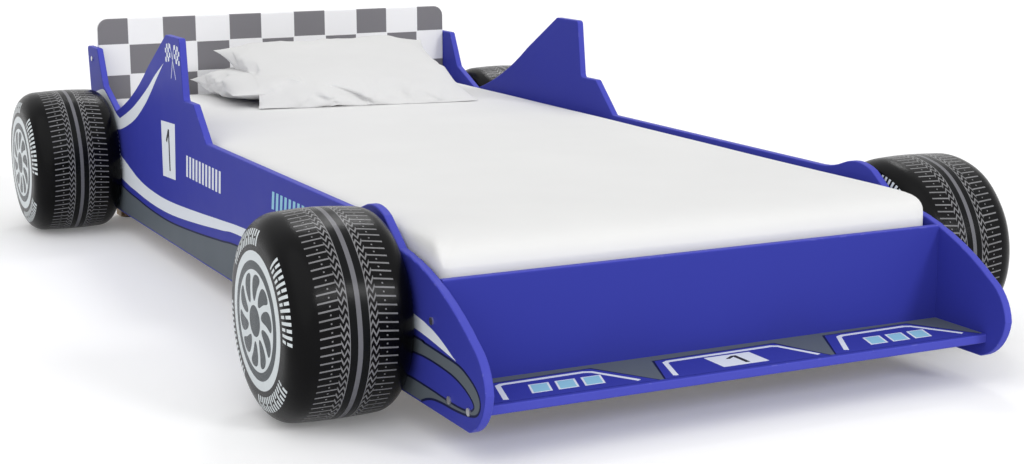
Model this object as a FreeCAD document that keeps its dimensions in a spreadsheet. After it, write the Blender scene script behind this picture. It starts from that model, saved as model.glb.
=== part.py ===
import FreeCAD, Part
import math
import os
import re
import Sketcher

# A racing-car bed for children. X runs across the bed, the nose points to -Y, +Z is up.
# The origin is on the floor at the middle of the whole bed. Lengths are in millimetres, angles in degrees.

doc = FreeCAD.newDocument("CarBed")
sizes = doc.addObject("Spreadsheet::Sheet", "Sizes")

SIZES = {
    # boards, bay and mattress
    "board": 15,
    "edge_round": 3,
    "corner_round": 9,
    "mattress_length": 2000,
    "mattress_width": 900,
    "mattress_height": 170,
    "mattress_corner": 28,
    "mattress_swell": 0.4,
    "mattress_gap": 5,
    "rest_gap": 0.3,
    "slat_level": 130,
    # side panel, heights above the floor and distances from the footboard's front face
    "panel_bottom": 47,
    "nose_reach": 173,
    "nose_height": 115,
    "chin_reach": 115,
    "jaw_reach": 163,
    "jaw_height": 84,
    "lip_reach": 160,
    "lip_height": 151,
    "brow_reach": 132,
    "brow_height": 177,
    "bonnet_reach": 30,
    "bonnet_height": 232,
    "bump_foot": 130,
    "bump_foot_height": 270,
    "bump_rise": 188,
    "bump_rise_height": 311,
    "bump_crest": 222,
    "bump_crest_height": 320.5,
    "bump_fall": 271,
    "bump_fall_height": 314,
    "bump_tail": 305,
    "bump_tail_height": 304,
    "bump_end": 343,
    "rail_height": 300,
    # side panel, distances from the headboard's front face
    "cockpit_front": 911,
    "step_front": 832,
    "step_height": 370,
    "step_back": 763,
    "fin_front": 747,
    "fin_height": 496,
    "fin_back": 644,
    "fin_sweep": 492,
    "fin_sweep_height": 414,
    "fin_curve": 354,
    "fin_curve_height": 340,
    "valley": 200,
    "valley_height": 285,
    "tail_foot": 88,
    "tail_foot_height": 332,
    "tail_front": 43,
    "tail_height": 416,
    "tail_back": 53,
    "tail_waist": 28,
    "tail_waist_height": 250,
    # headboard, footboard and nose shelf
    "headboard_top": 482,
    "headboard_corner": 25,
    "footboard_top": 245,
    "shelf_level": 87,
    "shelf_depth": 129,
    # wheels
    "wheel_radius": 163,
    "wheel_width": 207,
    "wheel_clear": 1,
    "front_axle": 204,
    "rear_axle": 102,
    "shoulder_out": 44,
    "shoulder_in": 40,
    "tread_crown": 3,
    "face_dome": 4,
    "face_flat": 20,
    "cover_wall": 1.6,
    "cover_hole": 75,
    "foam_gap": 0.2,
    "backing_radius": 105,
    "backing_board": 12,
    "wheel_bolt_circle": 60,
    "wheel_bolt": 4,
    "wheel_bolt_head": 9,
    "wheel_bolt_head_height": 2.5,
    "wheel_bolt_back": 1,
    "tee_nut": 6,
    "tee_nut_length": 9,
    # slats and what carries them
    "slat_width": 70,
    "slat_thickness": 12,
    "slat_count": 14,
    "slat_round": 3,
    "bearer_width": 25,
    "bearer_height": 45,
    "rail_width": 45,
    "plate_length": 80,
    "plate_width": 30,
    "plate_wall": 2.5,
    "plate_screw_in_cleat": 13,
    "plate_screw_near": 23,
    "plate_screw_far": 43,
    "cleat_end_gap": 8,
    # legs and glides
    "leg_side": 45,
    "front_leg": 283,
    "rear_leg": 45,
    "leg_bolt_length": 60,
    "leg_bolt_apart": 11,
    "hanger_bolt": 4,
    "hanger_bolt_length": 50,
    "glide_height": 4,
    "glide_radius": 15,
    "glide_pin": 1.5,
    "glide_pin_length": 14,
    # fasteners
    "drill_gap": 0.05,
    "bolt": 3,
    "bolt_length": 42,
    "bolt_head": 6,
    "bolt_head_height": 2.4,
    "barrel_nut": 5,
    "barrel_nut_length": 11,
    "barrel_nut_back": 34,
    "screw": 2,
    "screw_length": 36,
    "slat_screw_length": 28,
    "slat_screw_sink": 1.8,
    "plate_screw_length": 14,
    "bearer_screw_count": 5,
    "cleat_screw_count": 4,
    "screw_head": 4,
    "screw_head_height": 1.6,
    "dowel": 4,
    "dowel_length": 30,
    "dowel_in_panel": 9,
    "footboard_bolt": 184,
    "shelf_bolt_back": 52,
    "shelf_bolt_front": 119,
    "headboard_bolt_high": 388,
    "headboard_bolt_low": 300,
    "dowel_low": 80,
    "dowel_high": 200,
    # pillows
    "pillow_width": 526,
    "pillow_depth": 382,
    "pillow_draw": 26,
    "upper_crown": 50,
    "lower_belly": 30,
    "lower_crown": 48,
    "lower_across": 13,
    "lower_from_head": 247,
    "lower_turn": -2.9,
    "upper_belly": 22,
    "upper_lift": 56,
    "upper_across": 51,
    "upper_from_head": 321,
    "upper_turn": -5.8,
    "upper_tilt": 16.3,
}

for row, (alias, number) in enumerate(SIZES.items(), start=1):
    sizes.set("A%d" % row, alias)
    sizes.set("B%d" % row, str(number))
    sizes.setAlias("B%d" % row, alias)
doc.recompute()

# Places that follow from the driving sizes, as expressions.
BAY_HALF = "(mattress_width / 2 + mattress_gap)"
BAY_LENGTH = "(mattress_length + 2 * mattress_gap)"
OUTSIDE = "(%s + board)" % BAY_HALF
FOOT = "((nose_reach - board - %s - wheel_radius + rear_axle) / 2)" % BAY_LENGTH
HEAD = "(%s + board + %s)" % (FOOT, BAY_LENGTH)
FRONT_AXLE = "(%s + front_axle)" % FOOT
REAR_AXLE = "(%s - rear_axle)" % HEAD
AXLE_HEIGHT = "(wheel_radius + wheel_clear)"
BEARER_TOP = "(slat_level - slat_thickness)"
BEARER_BOTTOM = "(slat_level - slat_thickness - bearer_height)"
MATTRESS_FLOOR = "(slat_level + rest_gap)"
MATTRESS_TOP = "(slat_level + rest_gap + mattress_height)"

SIDES = {"left": -1, "right": 1}
nodes = {}


def formula(text):
    """Turn words such as board into cells of the sheet."""
    def cell(word):
        return "Sizes." + word.group() if word.group() in SIZES else word.group()
    return re.sub(r"[A-Za-z_]\w*", cell, str(text))


def value(text):
    return float(sizes.evalExpression(formula(text)))


def finish(label, thing):
    """Give a finished piece its name, which also names its file."""
    thing.Label = label
    nodes[label] = thing
    return thing


def place(thing, x, y, z):
    for axis, text in zip("xyz", (x, y, z)):
        thing.setExpression("Placement.Base." + axis, formula(text))


def cylinder(name, centre, direction, radius, length):
    """A round bar that starts at centre and runs along direction, such as '+x'."""
    bar = doc.addObject("Part::Cylinder", name)
    axis = FreeCAD.Vector(*(float(letter == direction[1]) for letter in "xyz"))
    if direction[0] == "-":
        axis = -axis
    bar.Placement = FreeCAD.Placement(FreeCAD.Vector(), FreeCAD.Rotation(FreeCAD.Vector(0, 0, 1), axis))
    place(bar, *centre)
    bar.setExpression("Radius", formula(radius))
    bar.setExpression("Height", formula(length))
    return bar


def box(name, low, high):
    block = doc.addObject("Part::Box", name)
    place(block, *low)
    for side, start, end in zip(("Length", "Width", "Height"), low, high):
        block.setExpression(side, formula("(%s) - (%s)" % (end, start)))
    return block


def together(name, parts):
    group = doc.addObject("Part::Compound", name)
    group.Links = parts
    return group


def cut(name, base, tools):
    """Cut several tools, which may overlap each other, out of a piece."""
    for count, tool in enumerate(tools):
        slot = doc.addObject("Part::Cut", "%s_cut_%d" % (name, count))
        slot.Base = base
        slot.Tool = tool
        base = slot
    return base


def origin_plane(body, role):
    return [feature for feature in body.Origin.OriginFeatures if feature.Role == role][0]


def shifted(point, direction, length):
    """The point that lies length along direction from point."""
    moved = list(point)
    number = "xyz".index(direction[1])
    moved[number] = "(%s %s (%s))" % (moved[number], direction[0], length)
    return moved


def outline_body(name, plane, offset, depth, steps, upright_sign=1):
    """Pad an outline of lines and arcs. Each step is (end,) or (through, end), and the last ends where the
    first starts. Points are pairs of expressions in the plane's own axes."""
    body = doc.addObject("PartDesign::Body", name + "_body")
    sketch = body.newObject("Sketcher::SketchObject", name + "_outline")
    sketch.AttachmentSupport = [(origin_plane(body, plane), "")]
    sketch.MapMode = "FlatFace"
    sketch.setExpression("AttachmentOffset.Base.z", formula("%d * (%s)" % (upright_sign, offset)))
    draw(sketch, steps)
    pad = body.newObject("PartDesign::Pad", name + "_pad")
    pad.Profile = sketch
    pad.setExpression("Length", formula(depth))
    pad.Reversed = upright_sign < 0
    doc.recompute()
    return body


def draw(sketch, steps):
    """Draw a closed outline, with every point held by the sheet."""
    def spot(point):
        return FreeCAD.Vector(value(point[0]), value(point[1]), 0)

    def hold(geometry, vertex, point, label):
        for kind, axis, text in (("DistanceX", "x", point[0]), ("DistanceY", "y", point[1])):
            number = sketch.addConstraint(Sketcher.Constraint(kind, -1, 1, geometry, vertex, value(text)))
            sketch.renameConstraint(number, label + axis)
            sketch.setExpression("Constraints.%s%s" % (label, axis), formula(text))

    start = steps[-1][-1]
    for count, step in enumerate(steps):
        end = step[-1]
        if len(step) == 2:
            arc = Part.Arc(spot(start), spot(step[0]), spot(end))
            edge = sketch.addGeometry(arc, False)
            flipped = sketch.getPoint(edge, 1).distanceToPoint(spot(start)) > 1e-6
            through = sketch.addGeometry(Part.Point(spot(step[0])), True)
            sketch.addConstraint(Sketcher.Constraint("PointOnObject", through, 1, edge))
            hold(through, 1, step[0], "through%d" % count)
            hold(edge, 2 if flipped else 1, start, "start%d" % count)
            hold(edge, 1 if flipped else 2, end, "end%d" % count)
        else:
            edge = sketch.addGeometry(Part.LineSegment(spot(start), spot(end)), False)
            hold(edge, 1, start, "start%d" % count)
            hold(edge, 2, end, "end%d" % count)
        start = end


def rounded(body, name, radius, chosen):
    """Round the edges of a body that chosen picks."""
    base = body.Tip
    picked = ["Edge%d" % number for number, edge in enumerate(base.Shape.Edges, start=1) if chosen(edge)]
    fillet = body.newObject("PartDesign::Fillet", name)
    fillet.Base = (base, picked)
    fillet.setExpression("Radius", formula(radius))
    doc.recompute()


def along(edge, axis):
    """True for a straight edge that runs along the axis."""
    if edge.Curve.TypeId != "Part::GeomLine":
        return False
    return abs(abs(getattr(edge.Curve.Direction, axis)) - 1) < 1e-6


def fasteners(label, seats, shank, length, head=None, head_height=None, sink=None):
    """A group of equal screws or bolts. Each seat is (point under the head, direction of the shank).
    A sunk head lies that deep in the wood. Returns the drills that make room for them."""
    pieces, drills = [], []
    for count, (surface, direction) in enumerate(seats):
        name = "%s_%d" % (label, count)
        seat = shifted(surface, direction, sink) if sink else surface
        screw = cylinder(name + "_shank", seat, direction, shank, length)
        if head:
            backwards = ("+" if direction[0] == "-" else "-") + direction[1]
            cap = cylinder(name + "_head", seat, backwards, head, head_height)
            joined = doc.addObject("Part::Fuse", name)
            joined.Base = cap
            joined.Tool = screw
            screw = joined
        pieces.append(screw)
        drill = cylinder(name + "_drill", seat, direction, "%s + drill_gap" % shank, "%s + drill_gap" % length)
        if sink:
            pocket = cylinder(name + "_pocket", surface, direction, "%s + drill_gap" % head, sink)
            joined = doc.addObject("Part::Fuse", name + "_sunk_drill")
            joined.Base = drill
            joined.Tool = pocket
            drill = joined
        drills.append(drill)
    finish(label, together(label + "_group", pieces))
    return drills


# Side panels: one board each, cut to the outline of the car.
def ahead(distance, height):
    return ("(%s - %s)" % (FOOT, distance), height)


def behind(distance, height):
    return ("(%s + %s)" % (FOOT, distance), height)


def before_head(distance, height):
    return ("(%s - %s)" % (HEAD, distance), height)


def after_head(distance, height):
    return ("(%s + %s)" % (HEAD, distance), height)


PANEL_OUTLINE = [
    (ahead("jaw_reach", "jaw_height"), ahead("nose_reach", "nose_height")),
    (ahead("lip_reach", "lip_height"), ahead("brow_reach", "brow_height")),
    (ahead("bonnet_reach", "bonnet_height"), behind("bump_foot", "bump_foot_height")),
    (behind("bump_rise", "bump_rise_height"),),
    (behind("bump_crest", "bump_crest_height"), behind("bump_fall", "bump_fall_height")),
    (behind("bump_tail", "bump_tail_height"), behind("bump_end", "rail_height")),
    (before_head("cockpit_front", "rail_height"),),
    (before_head("step_front", "step_height"),),
    (before_head("step_back", "step_height"),),
    (before_head("fin_front", "fin_height"),),
    (before_head("fin_back", "fin_height"),),
    (before_head("fin_sweep", "fin_sweep_height"),),
    (before_head("fin_curve", "fin_curve_height"), before_head("valley", "valley_height")),
    (before_head("tail_foot", "tail_foot_height"),),
    (before_head("tail_front", "tail_height"),),
    (after_head("tail_back", "tail_height"),),
    (after_head("tail_waist", "tail_waist_height"),),
    (after_head("tail_waist", "panel_bottom"),),
    (ahead("chin_reach", "panel_bottom"),),
]

# The corners of that outline that are sawn round.
ROUND_CORNERS = [step[-1] for step in PANEL_OUTLINE[6:]]


def side_panel(side):
    sign = SIDES[side]
    low_face = "-%s" % OUTSIDE if sign < 0 else BAY_HALF
    body = outline_body(side + "_side_panel", "YZ_Plane", low_face, "board", PANEL_OUTLINE)
    corners = [(value(y), value(z)) for y, z in ROUND_CORNERS]

    def at_corner(edge):
        middle = edge.CenterOfMass
        return along(edge, "x") and any(math.hypot(middle.y - y, middle.z - z) < 0.01 for y, z in corners)

    rounded(body, side + "_panel_corners", "corner_round", at_corner)
    rounded(body, side + "_panel_edges", "edge_round", lambda edge: edge.BoundBox.XLength < 0.01)
    return body


# Boards between the side panels.
def across_board(name, front, low, high, width, soften):
    """A board across the bed, its front face at front."""
    corners = [("-%s" % BAY_HALF, high), (BAY_HALF, high), (BAY_HALF, low), ("-%s" % BAY_HALF, low)]
    body = outline_body(name, "XZ_Plane", front, width, [(corner,) for corner in corners], -1)
    soften(body)
    return body


def soften_footboard(body):
    top = value("footboard_top")
    rounded(body, "footboard_edges", "edge_round",
            lambda edge: along(edge, "x") and edge.CenterOfMass.z > top - 1)


def soften_headboard(body):
    top = value("headboard_top")
    shoulder = value("headboard_top - headboard_corner")
    rounded(body, "headboard_corners", "headboard_corner",
            lambda edge: along(edge, "y") and edge.CenterOfMass.z > top - 1)
    rounded(body, "headboard_edges", "edge_round",
            lambda edge: edge.BoundBox.YLength < 0.01 and edge.BoundBox.ZMin > shoulder - 1)


def soften_shelf(body):
    front = value("%s - shelf_depth" % FOOT)
    rounded(body, "nose_shelf_edges", "edge_round",
            lambda edge: along(edge, "x") and edge.CenterOfMass.y < front + 1)


panel_bodies = {side: side_panel(side) for side in SIDES}
footboard_body = across_board("footboard", FOOT, "panel_bottom", "footboard_top", "board", soften_footboard)
headboard_body = across_board("headboard", HEAD, "panel_bottom", "headboard_top", "board", soften_headboard)
shelf_body = across_board("nose_shelf", "%s - shelf_depth" % FOOT, "shelf_level - board", "shelf_level",
                          "shelf_depth", soften_shelf)

# Bolts through the side panels into barrel nuts in the boards.
BOLTED = {
    "footboard": [("%s + board / 2" % FOOT, "footboard_bolt")],
    "nose_shelf": [("%s - shelf_bolt_back" % FOOT, "shelf_level - board / 2"),
                   ("%s - shelf_bolt_front" % FOOT, "shelf_level - board / 2")],
    "headboard": [("%s + board / 2" % HEAD, "headboard_bolt_high"),
                  ("%s + board / 2" % HEAD, "headboard_bolt_low")],
}
seats = []
bolt_owners = []
nut_pieces = []
nut_drills = {board: [] for board in BOLTED}
for side, sign in SIDES.items():
    direction = "+x" if sign < 0 else "-x"
    for board, spots in BOLTED.items():
        for count, (y, z) in enumerate(spots):
            seats.append((("%d * %s" % (sign, OUTSIDE), y, z), direction))
            bolt_owners.append((side, board))
            nut_x = "%d * (%s - barrel_nut_back)" % (sign, OUTSIDE)
            if board == "nose_shelf":
                start, way = (nut_x, y, "shelf_level - board"), "+z"
            else:
                start, way = (nut_x, "%s + (board / 2)" % y, z), "-y"
            name = "%s_%s_nut_%d" % (side, board, count)
            nut_pieces.append(cylinder(name, start, way, "barrel_nut", "barrel_nut_length"))
            nut_drills[board].append(cylinder(name + "_drill", start, way, "barrel_nut + drill_gap",
                                              "barrel_nut_length + drill_gap"))
bolt_drills = fasteners("panel_bolts", seats, "bolt", "bolt_length", "bolt_head", "bolt_head_height")
finish("barrel_nuts", cut("barrel_nuts", together("barrel_nut_blanks", nut_pieces),
                          [together("barrel_nut_threads", bolt_drills)]))

# Dowels that locate the headboard and the footboard.
DOWELLED = (("headboard", HEAD, "dowel_low"), ("headboard", HEAD, "dowel_high"),
            ("footboard", FOOT, "dowel_low"))
dowel_seats = []
dowel_owners = []
for side, sign in SIDES.items():
    for board, face, z in DOWELLED:
        end = "%d * (%s + dowel_in_panel)" % (sign, BAY_HALF)
        dowel_seats.append(((end, "%s + board / 2" % face, z), "+x" if sign < 0 else "-x"))
        dowel_owners.append((side, board))
dowel_drills = fasteners("dowels", dowel_seats, "dowel", "dowel_length")


def owned(drills, owners, owner):
    """The drills that go into one panel or board."""
    return [drill for drill, pair in zip(drills, owners) if owner in pair]


# Slat bearers along the side panels, cleats across the ends and the rail along the middle.
BAY_FRONT = "(%s + board)" % FOOT
for side, sign in SIDES.items():
    inner = "%d * (%s - bearer_width)" % (sign, BAY_HALF)
    outer = "%d * %s" % (sign, BAY_HALF)
    low_x, high_x = (outer, inner) if sign < 0 else (inner, outer)
    nodes[side + "_bearer"] = box(side + "_bearer_batten", (low_x, BAY_FRONT, BEARER_BOTTOM),
                                  (high_x, HEAD, BEARER_TOP))
CLEAT_HALF = "(%s - bearer_width)" % BAY_HALF
nodes["foot_cleat"] = box("foot_cleat_batten", ("-%s" % CLEAT_HALF, BAY_FRONT, BEARER_BOTTOM),
                          (CLEAT_HALF, "%s + bearer_width" % BAY_FRONT, BEARER_TOP))
HEAD_CLEAT_HALF = "(%s - leg_side - cleat_end_gap)" % CLEAT_HALF
nodes["head_cleat"] = box("head_cleat_batten",
                          ("-%s" % HEAD_CLEAT_HALF, "%s - bearer_width" % HEAD, BEARER_BOTTOM),
                          (HEAD_CLEAT_HALF, HEAD, BEARER_TOP))
RAIL_FRONT = "(%s + bearer_width)" % BAY_FRONT
RAIL_BACK = "(%s - bearer_width)" % HEAD
nodes["centre_rail"] = box("centre_rail_batten", ("-rail_width / 2", RAIL_FRONT, BEARER_BOTTOM),
                           ("rail_width / 2", RAIL_BACK, BEARER_TOP))

BATTEN_MIDDLE = "(%s - bearer_height / 2)" % BEARER_TOP
bearer_screws = int(value("bearer_screw_count"))
bearer_seats = []
for sign in SIDES.values():
    for count in range(bearer_screws):
        share = "(%d + 0.5) / bearer_screw_count" % count
        y = "%s + bearer_width + (%s - 2 * bearer_width) * %s" % (BAY_FRONT, BAY_LENGTH, share)
        bearer_seats.append((("%d * %s" % (sign, CLEAT_HALF), y, BATTEN_MIDDLE), "-x" if sign < 0 else "+x"))
bearer_drills = fasteners("bearer_screws", bearer_seats, "screw", "screw_length", "screw_head",
                          "screw_head_height")
cleat_seats = []
for count in range(int(value("cleat_screw_count"))):
    x = "-%s + 2 * %s * (%d + 0.5) / cleat_screw_count" % (CLEAT_HALF, CLEAT_HALF, count)
    cleat_seats.append(((x, RAIL_FRONT, BATTEN_MIDDLE), "-y"))
    cleat_seats.append(((x, RAIL_BACK, BATTEN_MIDDLE), "+y"))
cleat_drills = fasteners("cleat_screws", cleat_seats, "screw", "screw_length", "screw_head",
                         "screw_head_height")

# Steel plates that join the centre rail's ends to the cleats from below.
plates, plate_seats = [], []
for end, joint, onwards, back in (("foot", RAIL_FRONT, "+", "-"), ("head", RAIL_BACK, "-", "+")):
    middle = "(%s %s (plate_length / 2 - bearer_width))" % (joint, onwards)
    plates.append(box(end + "_plate",
                      ("-plate_width / 2", "%s - plate_length / 2" % middle, "%s - plate_wall" % BEARER_BOTTOM),
                      ("plate_width / 2", "%s + plate_length / 2" % middle, BEARER_BOTTOM)))
    for way, distance in ((back, "plate_screw_in_cleat"), (onwards, "plate_screw_near"),
                          (onwards, "plate_screw_far")):
        plate_y = "%s %s %s" % (joint, way, distance)
        plate_seats.append((("0", plate_y, "%s - plate_wall" % BEARER_BOTTOM), "+z"))
plate_drills = fasteners("plate_screws", plate_seats, "screw", "plate_screw_length", "screw_head",
                         "screw_head_height")
foot_plate_drills, head_plate_drills = plate_drills[:3], plate_drills[3:]
finish("joining_plates", cut("joining_plates", together("plate_blanks", plates),
                             [together("plate_holes", plate_drills)]))

# Legs: one behind each wheel, bolted to the bearer, and three under the centre rail. The head cleat stops
# short of the rear legs, which leaves room for the heads of their bolts.
leg_seats = []
leg_places = []
for end, start in (("front", "(%s + front_leg)" % FOOT), ("rear", "(%s - rear_leg)" % HEAD)):
    for side, sign in SIDES.items():
        label = "%s_%s_leg" % (end, side)
        low_x = "-%s" % CLEAT_HALF if sign < 0 else "(%s - leg_side)" % CLEAT_HALF
        nodes[label] = box(label + "_post", (low_x, start, "glide_height"),
                           ("%s + leg_side" % low_x, "%s + leg_side" % start, BEARER_TOP))
        middle_y = "(%s + leg_side / 2)" % start
        leg_places.append((label, "(%s + leg_side / 2)" % low_x, middle_y))
        inner_face = "%d * (%s - leg_side)" % (sign, CLEAT_HALF)
        for step in (-1, 1):
            leg_seats.append(((inner_face, "%s + %d * leg_bolt_apart" % (middle_y, step), BATTEN_MIDDLE),
                              "-x" if sign < 0 else "+x"))
leg_drills = fasteners("leg_bolts", leg_seats, "bolt", "leg_bolt_length", "bolt_head", "bolt_head_height")
hanger_seats = []
for count, end in enumerate(("front", "middle", "rear")):
    label = "%s_centre_leg" % end
    middle_y = "(%s + (%s - %s) * %d / 6)" % (RAIL_FRONT, RAIL_BACK, RAIL_FRONT, 2 * count + 1)
    nodes[label] = box(label + "_post", ("-leg_side / 2", "%s - leg_side / 2" % middle_y, "glide_height"),
                       ("leg_side / 2", "%s + leg_side / 2" % middle_y, BEARER_BOTTOM))
    leg_places.append((label, "0", middle_y))
    hanger_seats.append((("0", middle_y, "%s - hanger_bolt_length / 2" % BEARER_BOTTOM), "+z"))
hanger_drills = fasteners("hanger_bolts", hanger_seats, "hanger_bolt", "hanger_bolt_length")
glide_drills = fasteners("floor_glides", [((x, y, "glide_height"), "+z") for label, x, y in leg_places],
                         "glide_pin", "glide_pin_length", "glide_radius", "glide_height")
for number, (label, x, y) in enumerate(leg_places):
    drills = [glide_drills[number]]
    if number < len(SIDES) * 2:
        drills += leg_drills[2 * number:2 * number + 2]
    else:
        drills.append(hanger_drills[number - len(SIDES) * 2])
    finish(label, cut(label, nodes[label], [together(label + "_holes", drills)]))

# Slats.
slat_total = int(value("slat_count"))
slat_seats = []
SCREW_LINE = "(%s - bearer_width / 2)" % BAY_HALF
for count in range(slat_total):
    middle_y = "(%s + %s * (%d + 0.5) / slat_count)" % (BAY_FRONT, BAY_LENGTH, count)
    for x in ("-%s" % SCREW_LINE, "0", SCREW_LINE):
        slat_seats.append(((x, middle_y, "slat_level"), "-z"))
slat_drills = fasteners("slat_screws", slat_seats, "screw", "slat_screw_length", "screw_head",
                        "screw_head_height", "slat_screw_sink")


def slat(count):
    label = "slat_%02d" % (count + 1)
    middle_y = "(%s + %s * (%d + 0.5) / slat_count)" % (BAY_FRONT, BAY_LENGTH, count)
    half = "(mattress_width / 2)"
    corners = [("-%s" % half, "slat_level"), (half, "slat_level"), (half, BEARER_TOP),
               ("-%s" % half, BEARER_TOP)]
    body = outline_body(label, "XZ_Plane", "%s - slat_width / 2" % middle_y, "slat_width",
                        [(corner,) for corner in corners], -1)
    top = value("slat_level")
    rounded(body, label + "_edges", "slat_round",
            lambda edge: along(edge, "x") and edge.CenterOfMass.z > top - 1)
    finish(label, cut(label, body, [together(label + "_holes", slat_drills[3 * count:3 * count + 3])]))


for count in range(slat_total):
    slat(count)


# Wheels: a round backing board bolted to the side panel, a foam core and a sewn cover.
def wheel_outline(inset):
    """The wheel's section from the hole in its back to the middle of its face, inset from the outside.
    Points are (distance from the side panel, radius)."""
    width = "(wheel_width - %s)" % inset
    radius = "(wheel_radius - tread_crown - %s)" % inset
    inner, outer = "(shoulder_in - %s)" % inset, "(shoulder_out - %s)" % inset
    bend = 1 - math.sqrt(0.5)
    face = "(%s - face_dome)" % width
    return [
        ((inset, "%s - %s" % (radius, inner)),),
        (("%s + %s * %.6f" % (inset, inner, bend), "%s - %s * %.6f" % (radius, inner, bend)),
         ("%s + %s" % (inset, inner), radius)),
        (("wheel_width / 2", "wheel_radius - %s" % inset), ("%s - %s" % (face, outer), radius)),
        (("%s - %s * %.6f" % (face, outer, bend), "%s - %s * %.6f" % (radius, outer, bend)),
         (face, "%s - %s" % (radius, outer))),
        (("%s - face_dome / 4" % width, "(%s - %s) / 2" % (radius, outer)), (width, "face_flat")),
        ((width, "0"),),
    ]


def backwards(steps, start):
    """The same path walked from its end to start."""
    ends = [start] + [step[-1] for step in steps]
    path = []
    for count in range(len(steps) - 1, -1, -1):
        through = steps[count][:-1]
        path.append(through + (ends[count],))
    return path


def turned(name, side, axle, steps):
    """Turn a section about a wheel's axle. Points are (distance from the side panel, radius)."""
    sign = SIDES[side]

    def outward(point):
        return ("%d * (%s + %s)" % (sign, OUTSIDE, point[0]), point[1])

    body = doc.addObject("PartDesign::Body", name + "_body")
    sketch = body.newObject("Sketcher::SketchObject", name + "_section")
    sketch.AttachmentSupport = [(origin_plane(body, "XZ_Plane"), "")]
    sketch.MapMode = "FlatFace"
    sketch.setExpression("AttachmentOffset.Base.z", formula("-1 * (%s)" % axle))
    sketch.setExpression("AttachmentOffset.Base.y", formula(AXLE_HEIGHT))
    draw(sketch, [tuple(outward(point) for point in step) for step in steps])
    turn = body.newObject("PartDesign::Revolution", name + "_turn")
    turn.Profile = sketch
    turn.ReferenceAxis = (sketch, ["H_Axis"])
    turn.Angle = 360
    doc.recompute()
    return body


def wheel_cover(name, side, axle):
    hole = ("0", "cover_hole")
    inner_hole = ("cover_wall", "cover_hole")
    outside = wheel_outline("0")
    inside = wheel_outline("cover_wall")
    back = backwards(inside, inner_hole)
    steps = outside + [(inside[-1][-1],)] + back + [(hole,)]
    return turned(name, side, axle, steps)


def wheel_foam(name, side, axle):
    skin = "(cover_wall + foam_gap)"
    seat = "(cover_wall + backing_board + foam_gap)"
    recess = "(backing_radius + foam_gap)"
    steps = [((seat, recess),), ((skin, recess),)] + wheel_outline(skin) + [((seat, "0"),)]
    return turned(name, side, axle, steps)


WHEEL_BOLT_ANGLES = (90, 210, 330)
wheel_bolt_seats, nut_blanks, nut_pockets, wheel_places = [], [], [], []
for end, axle in (("front", FRONT_AXLE), ("rear", REAR_AXLE)):
    for side, sign in SIDES.items():
        name = "%s_%s_wheel" % (end, side)
        way = "-x" if sign < 0 else "+x"
        wheel_places.append((name, side, axle, way))
        for count, angle in enumerate(WHEEL_BOLT_ANGLES):
            y = "(%s + wheel_bolt_circle * cos(%d))" % (axle, angle)
            z = "(%s + wheel_bolt_circle * sin(%d))" % (AXLE_HEIGHT, angle)
            wheel_bolt_seats.append((("%d * %s" % (sign, BAY_HALF), y, z), way))
            start = ("%d * (%s + cover_wall + backing_board - tee_nut_length)" % (sign, OUTSIDE), y, z)
            nut_blanks.append(cylinder("%s_nut_%d" % (name, count), start, way, "tee_nut", "tee_nut_length"))
            nut_pockets.append(cylinder("%s_nut_pocket_%d" % (name, count), start, way, "tee_nut + drill_gap",
                                        "tee_nut_length + drill_gap"))
wheel_bolt_drills = fasteners("wheel_bolts", wheel_bolt_seats, "wheel_bolt",
                              "board + cover_wall + backing_board - wheel_bolt_back", "wheel_bolt_head",
                              "wheel_bolt_head_height")
finish("tee_nuts", cut("tee_nuts", together("tee_nut_blanks", nut_blanks),
                       [together("tee_nut_threads", wheel_bolt_drills)]))
for number, (name, side, axle, way) in enumerate(wheel_places):
    finish(name + "_cover", wheel_cover(name + "_cover", side, axle))
    finish(name + "_foam", wheel_foam(name + "_foam", side, axle))
    start = ("%d * (%s + cover_wall)" % (SIDES[side], OUTSIDE), axle, AXLE_HEIGHT)
    disc = cylinder(name + "_disc", start, way, "backing_radius", "backing_board")
    own = slice(3 * number, 3 * number + 3)
    finish(name + "_backing", cut(name + "_backing", disc, [
        together(name + "_bolt_holes", wheel_bolt_drills[own]),
        together(name + "_nut_holes", nut_pockets[own])]))

# Drill the boards and battens.
for first, side in enumerate(SIDES):
    panel_drills = owned(bolt_drills, bolt_owners, side) + owned(dowel_drills, dowel_owners, side)
    own_screws = bearer_drills[bearer_screws * first:bearer_screws * (first + 1)]
    panel_drills += own_screws
    for number, place_of_wheel in enumerate(wheel_places):
        if place_of_wheel[1] == side:
            panel_drills += wheel_bolt_drills[3 * number:3 * number + 3]
    label = side + "_side_panel"
    finish(label, cut(label, panel_bodies[side], [together(label + "_holes", panel_drills)]))
    label = side + "_bearer"
    bearer_holes = own_screws + slat_drills[2 * first::3]
    for number, (leg, x, y) in enumerate(leg_places):
        if side in leg:
            bearer_holes += leg_drills[2 * number:2 * number + 2]
    finish(label, cut(label, nodes[label], [together(label + "_holes", bearer_holes)]))

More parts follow.
